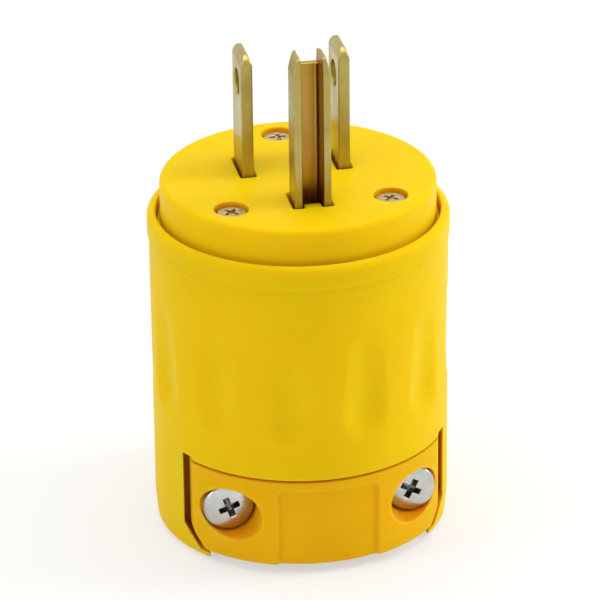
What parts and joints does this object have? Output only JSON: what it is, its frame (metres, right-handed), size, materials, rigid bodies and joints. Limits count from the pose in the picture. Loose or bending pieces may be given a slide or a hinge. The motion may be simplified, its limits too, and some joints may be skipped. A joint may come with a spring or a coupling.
{
  "type": "straight blade plug",
  "caption": "Round moulded straight blade plug with flat brass blades, a channel ground pin, a face held by sunk screws and a screw-down cord clamp at the rear.",
  "frame": {"origin": "centre of the flat rear face that the plug stands on, where the axis of the body meets it", "axes": "+Z along the body's axis towards the tips of the blades, -Y to the front with the ground pin and the cord clamp, +X to the right with the neutral blade"},
  "size_m": [0.0394, 0.0394, 0.0683],
  "materials": {
    "body_yellow": "fine satin",
    "clamp_yellow": "fine satin",
    "carrier_dark": "matt",
    "blade_brass": "bright stamped",
    "brass_screw": "bright",
    "nickel_screw": "nickel plated",
    "green_screw": "green dyed",
    "zinc_screw": "zinc plated"
  },
  "bodies": {
    "root": {"housing": "body_yellow", "face": "body_yellow", "terminal_carrier": "carrier_dark", "line_blade": "blade_brass", "neutral_blade": "blade_brass", "ground_pin": "blade_brass", "line_terminal_screw": "brass_screw", "neutral_terminal_screw": "nickel_screw", "ground_terminal_screw": "green_screw", "line_pressure_plate": "blade_brass", "neutral_pressure_plate": "blade_brass", "ground_pressure_plate": "blade_brass", "face_screws": "zinc_screw", "cord_clamp": "clamp_yellow", "cord_clamp_screws": "zinc_screw"}
  },
  "joints": []
}
